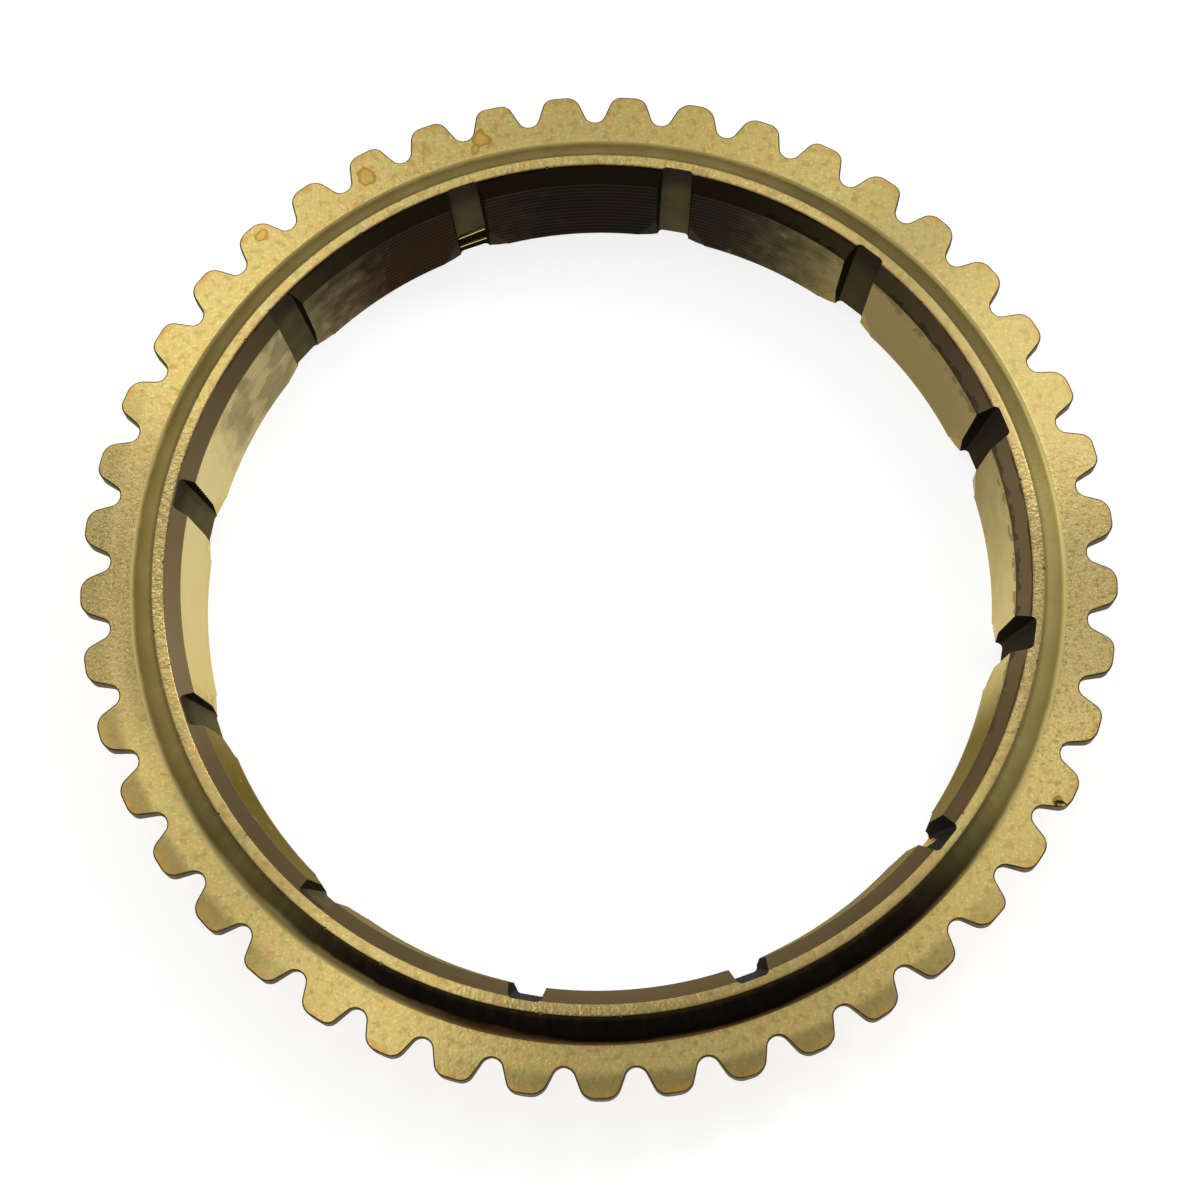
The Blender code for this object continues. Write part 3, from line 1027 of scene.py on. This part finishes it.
# Painted highlight along the foot of the band, fainter on the far side; on the near side it turns dark red-brown.
foot = ramp(tree, ragged_radius, foot_of_band - 0.00060, foot_of_band - 0.00020)
foot_highlight_colour = blend(tree, sector(tree, 280, 28, 44), (0.95, 0.76, 0.31), (0.26, 0.11, 0.05))
foot_share = minus(tree, 0.75, times(tree, sector(tree, 70, 75, 100), 0.55))
olive = blend(tree, times(tree, foot, foot_share), olive, foot_highlight_colour)
painted_black = blend(tree, grain["Clouds"], (0.030, 0.020, 0.013), (0.022, 0.016, 0.012))
olive = blend(tree, painted_black_share, olive, painted_black)
# Painted shade: the band is darker just under the lip.
shade_under_lip = ramp(tree, place["Radius"], lip_outer_radius + 0.00045, lip_outer_radius + 0.0001)
olive = stain(tree, olive, (0.14, 0.09, 0.03), shade_under_lip, 0.5)
feed(tree, shader.inputs["Base Color"], olive)
add_relief(tree, shader, marks["Height"], 0.000003)

print(f"turned band: {len(tree.nodes)} nodes")

# %% [markdown]
# ## The mouth and the bore
# The chamfer of the mouth is turned and has browned; painted sheen lightens it on the left and the right. A dark red
# line runs under the lip on the far side, and its lower edge is torn where the thread begins. The lands of the bore
# are pale brass where the cone of the gear has rubbed them; painted shade turns the far ones near black, and there
# they aren't metallic.

# %% Mouth chamfer
tree, shader = brass_shader("mouth_chamfer", {"Roughness": 0.28, "Specular Tint": (0.80, 0.68, 0.50)})
place = use_group(tree, place_group)
marks = use_group(tree, marks_group, {"Across": place["Radius"], "Spacing": 0.00009, "Along": 3.0})
brown = blend(tree, marks["Streaks"], (0.33, 0.235, 0.115), (0.27, 0.20, 0.10))
# Painted sheen: the chamfer is lighter on the left and the right. Painted shade darkens it on the far right, and it
# is darker on the near side.
brown = stain(tree, brown, (0.46, 0.34, 0.17), sector(tree, 165, 22, 40), 0.7)
brown = stain(tree, brown, (0.44, 0.32, 0.16), sector(tree, 358, 10, 26), 0.7)
brown = stain(tree, brown, (0.14, 0.09, 0.055), sector(tree, 30, 6, 22), 0.3)
brown = stain(tree, brown, (0.20, 0.145, 0.075), sector(tree, 270, 25, 48), 0.4)
from_lip = minus(tree, lip_inner_radius, place["Radius"])
red_line = torn_edge(tree, from_lip, 0.0005, reach=0.00014, shift=0.00014, fade=0.00010)
red_line = times(tree, red_line, sector(tree, 60, 60, 150))
brown = stain(tree, brown, (0.15, 0.06, 0.035), red_line, 0.8)
from_land = minus(tree, place["Radius"], mouth_radius)
dark_line = torn_edge(tree, from_land, 0.00025, reach=0.0003, shift=0.00032, fade=0.00014)
dark_line = times(tree, dark_line, sector(tree, 18, 25, 60, 0.05))
brown = stain(tree, brown, (0.06, 0.045, 0.022), dark_line, 0.55)
feed(tree, shader.inputs["Base Color"], brown)
add_relief(tree, shader, marks["Height"], 0.000002)

print(f"mouth chamfer: {len(tree.nodes)} nodes")

# %% Threaded bore
bore_roughness = 0.26
tree, shader = brass_shader("threaded_bore", {"Specular Tint": (0.86, 0.72, 0.42), "Specular IOR Level": 0.03})
place = use_group(tree, place_group)
marks = use_group(tree, marks_group, {"Across": place["Height"], "Spacing": 0.0003, "Along": 3.0})
grain = use_group(tree, grain_group, {"Size": 0.0006})
pale = blend(tree, marks["Streaks"], (0.68, 0.57, 0.29), (0.60, 0.50, 0.24))
# Painted shade: the lands are darker on the far right.
pale = stain(tree, pale, (0.17, 0.13, 0.055), sector(tree, 38, 12, 52, 0.10), 0.85)
# The lands are patchy and darker near 139 degrees, darker on the near side, and darker still near 210 degrees.
patchy_lands = times(tree, sector(tree, 139, 6, 19, 0.05), ramp(tree, grain["Clouds"], 0.0, 0.7, 0.6, 1.0))
pale = stain(tree, pale, (0.19, 0.165, 0.09), patchy_lands, 0.85)
pale = stain(tree, pale, (0.095, 0.078, 0.046), sector(tree, 270, 62, 76, 0.03))
pale = stain(tree, pale, (0.030, 0.023, 0.014), sector(tree, 210, 10, 20, 0.03), 0.75)
# Painted shade: on the far side the lands turn near black, not metallic and rougher, with faint tints along the
# thread.
shaded_far_lands = sector(tree, 93, 24, 49, 0.15)
tints = ramp(tree, marks["Streaks"], 0.40, 0.60)
overlay = blend(tree, tints, (0.028, 0.014, 0.007), (0.015, 0.014, 0.009))
overlay = stain(tree, overlay, (0.05, 0.04, 0.02), sector(tree, 45, 10, 35, 0.2), 0.5)
overlay = stain(tree, overlay, (0.058, 0.027, 0.010), sector(tree, 115, 12, 22, 0.2), 0.7)
pale = blend(tree, shaded_far_lands, pale, overlay)
feed(tree, shader.inputs["Metallic"], minus(tree, 1.0, shaded_far_lands))
feed(tree, shader.inputs["Roughness"], plus(tree, bore_roughness, times(tree, shaded_far_lands, 0.3)))
spots = use_group(tree, spots_group, {"Spacing": 0.0022, "Share of cells": 0.6})
pale = stain(tree, pale, (0.34, 0.22, 0.08), spots["Film"], 0.4)
below_mouth = minus(tree, mouth_height, place["Height"])
torn = torn_edge(tree, below_mouth, 0.00025, reach=-0.0016, shift=-0.0005, fade=0.0003)
torn = times(tree, torn, sector(tree, 12, 28, 50, 0.04))
pale = stain(tree, pale, (0.10, 0.078, 0.04), torn, 0.6)
feed(tree, shader.inputs["Base Color"], pale)

print(f"threaded bore: {len(tree.nodes)} nodes")

# %% [markdown]
# ## The grooves
# The floors of the grooves are dark, and darker below the lip. Painted shade makes them darker on the right and
# black on the near side, and a painted shadow lies under the burrs. Their walls are painted near black as shade, and
# the burrs are the only fresh brass. One spot of the near floor is rubbed bright.

# %% Floors of the grooves
tree, shader = brass_shader("broached_groove", {
    "Roughness": 0.6, "Specular Tint": (0.55, 0.44, 0.28), "Specular IOR Level": 0.01})
place = use_group(tree, place_group)
grain = use_group(tree, grain_group, {"Size": 0.0006})
floor_tone = blend(tree, grain["Clouds"], (0.14, 0.11, 0.048), (0.105, 0.092, 0.045))
# Painted shade: the floors are darker on the right.
floor_tone = stain(tree, floor_tone, (0.040, 0.030, 0.018), sector(tree, 0, 25, 60))
# The floors are darker below the lip.
near_lip = ramp(tree, place["Height"], 0.0060, 0.0085)
floor_tone = stain(tree, floor_tone, (0.032, 0.024, 0.022), near_lip, 0.75)
# Painted shadow under the burrs, and painted shade that turns the floors black on the near side.
painted_black_shade = times(tree, sector(tree, 105, 4, 5), ramp(tree, place["Height"], 0.0026, 0.0024))
painted_black_shade = calc(tree, "MAXIMUM", painted_black_shade, sector(tree, 290, 40, 60))
floor_tone = stain(tree, floor_tone, (0.014, 0.008, 0.004), painted_black_shade)
rubbed = use_group(tree, drop_group, {"X": 0.02480, "Y": -0.02280, "Size": 0.0006})
floor_tone = stain(tree, floor_tone, (0.75, 0.55, 0.18), rubbed["Film"])
feed(tree, shader.inputs["Base Color"], floor_tone)
shine = minus(tree, 0.35, times(tree, painted_black_shade, 0.35))
feed(tree, shader.inputs["Metallic"], calc(tree, "MAXIMUM", shine, rubbed["Film"]))

print(f"groove floors: {len(tree.nodes)} nodes")

# %% Walls of the grooves, and fresh brass
# Painted shade: the walls of the grooves are near black and not metallic.
brass_shader("groove_wall", {
    "Metallic": 0.0, "Roughness": 0.8, "Specular IOR Level": 0.01, "Specular Tint": (0.6, 0.5, 0.3),
    "Base Color": (0.018, 0.015, 0.008)})
brass_shader("fresh_brass", {"Roughness": 0.3, "Base Color": (0.85, 0.66, 0.24)})
print(f"{len(finishes)} finishes are set")

# %% [markdown]
# ## Camera, floor and light
# The camera looks down at the ring, a little from the near side. The floor is a light table: it glows as well as
# it reflects, so the ground is almost white and keeps only a breath of shadow where the ring stands.

# %% Camera
camera_data = bpy.data.cameras.new("camera")
camera_data.sensor_width = 36
camera_data.lens = 82.167
camera = bpy.data.objects.new("camera", camera_data)
camera.location = (-0.000517, -0.058921, 0.221678)
camera.rotation_euler = [math.radians(angle) for angle in (14.8314, 0.9904, -4.3100)]
bpy.context.scene.collection.objects.link(camera)
bpy.context.scene.camera = camera
bpy.context.scene.view_settings.view_transform = "Standard"
print(f"the camera stands {1000 * camera.location.length:.0f} mm from the ring")

# %% Floor
floor_radius = 1.5
floor_grey = 0.4
floor_glow = 0.82
floor_bm = bmesh.new()
bmesh.ops.create_circle(floor_bm, cap_ends=True, segments=64, radius=floor_radius)
floor_mesh = bpy.data.meshes.new("floor")
floor_bm.to_mesh(floor_mesh)
floor_bm.free()
floor = bpy.data.objects.new("floor", floor_mesh)
bpy.context.scene.collection.objects.link(floor)
floor_material = bpy.data.materials.new("floor")
floor_material.use_nodes = True
floor_shader = floor_material.node_tree.nodes["Principled BSDF"]
floor_shader.inputs["Base Color"].default_value = (floor_grey, floor_grey, floor_grey, 1)
floor_shader.inputs["Roughness"].default_value = 0.7
floor_shader.inputs["Emission Color"].default_value = (1, 1, 1, 1)
floor_shader.inputs["Emission Strength"].default_value = floor_glow
floor_mesh.materials.append(floor_material)
print(f"the floor is {2 * floor_radius:.0f} m across")

# %% [markdown]
# ## Studio light
# Polished metal shows its room more than its lamps. This room is dark behind the camera, grey at its sides and
# pale at its ceiling, and that puts the dark into the near side of the band. Where the camera looks past the
# floor it sees a pale wall. Four small softboxes add the sheen on the right and the light in the bore.

# %% The room
dark_direction = Vector((0, -0.985, 0.174))
wall_light = 0.30
ceiling_light = 1.25
dark_light = 0.006
world = bpy.data.worlds.new("studio")
bpy.context.scene.world = world
world.use_nodes = True
sky = world.node_tree
looking = add_node(sky, "TexCoord").outputs["Generated"]
dark_way = add_node(sky, "VectorMath", operation="DOT_PRODUCT")
feed(sky, dark_way.inputs[0], looking)
feed(sky, dark_way.inputs[1], dark_direction)
lit = ramp(sky, dark_way.outputs["Value"], 0.0, 0.85, 1.0, 0.0)
looking_split = add_node(sky, "SeparateXYZ", {"Vector": looking}).outputs
behind = calc(sky, "MAXIMUM", looking_split["Y"], 0.0)
ceiling = times(sky, behind, ramp(sky, looking_split["Z"], 0.35, 0.85))
brightness = plus(sky, times(sky, ceiling, ceiling_light), wall_light)
strength = plus(sky, times(sky, lit, brightness), dark_light)
seen_direct = add_node(sky, "LightPath").outputs["Is Camera Ray"]
strength = calc(sky, "MAXIMUM", strength, seen_direct)
feed(sky, sky.nodes["Background"].inputs["Strength"], strength)
sky.nodes["Background"].inputs["Color"].default_value = (1, 1, 1, 1)
print(f"the room: {len(sky.nodes)} nodes")

# %% Four softboxes
softbox_size = 0.14
softbox_distance = 0.8


def softbox(name, azimuth, elevation, power):
    """A square lamp that faces the ring, by its angles in degrees and its power in watts."""
    data = bpy.data.lights.new(name, "AREA")
    data.shape = "SQUARE"
    data.size = softbox_size
    data.energy = power
    lamp = bpy.data.objects.new(name, data)
    flat = Vector((math.cos(math.radians(azimuth)), math.sin(math.radians(azimuth)), 0))
    lift = math.radians(elevation)
    lamp.location = (flat * math.cos(lift) + Vector((0, 0, math.sin(lift)))) * softbox_distance
    lamp.rotation_euler = lamp.location.to_track_quat("Z", "Y").to_euler()
    bpy.context.scene.collection.objects.link(lamp)


softbox("softbox right", 28, 30, 1.05)
softbox("softbox behind right", 46, 47, 0.40)
softbox("softbox behind left", 113, 66, 0.32)
softbox("softbox above left", 200, 77, 0.30)
print(f"the softboxes stand {softbox_distance} m away")
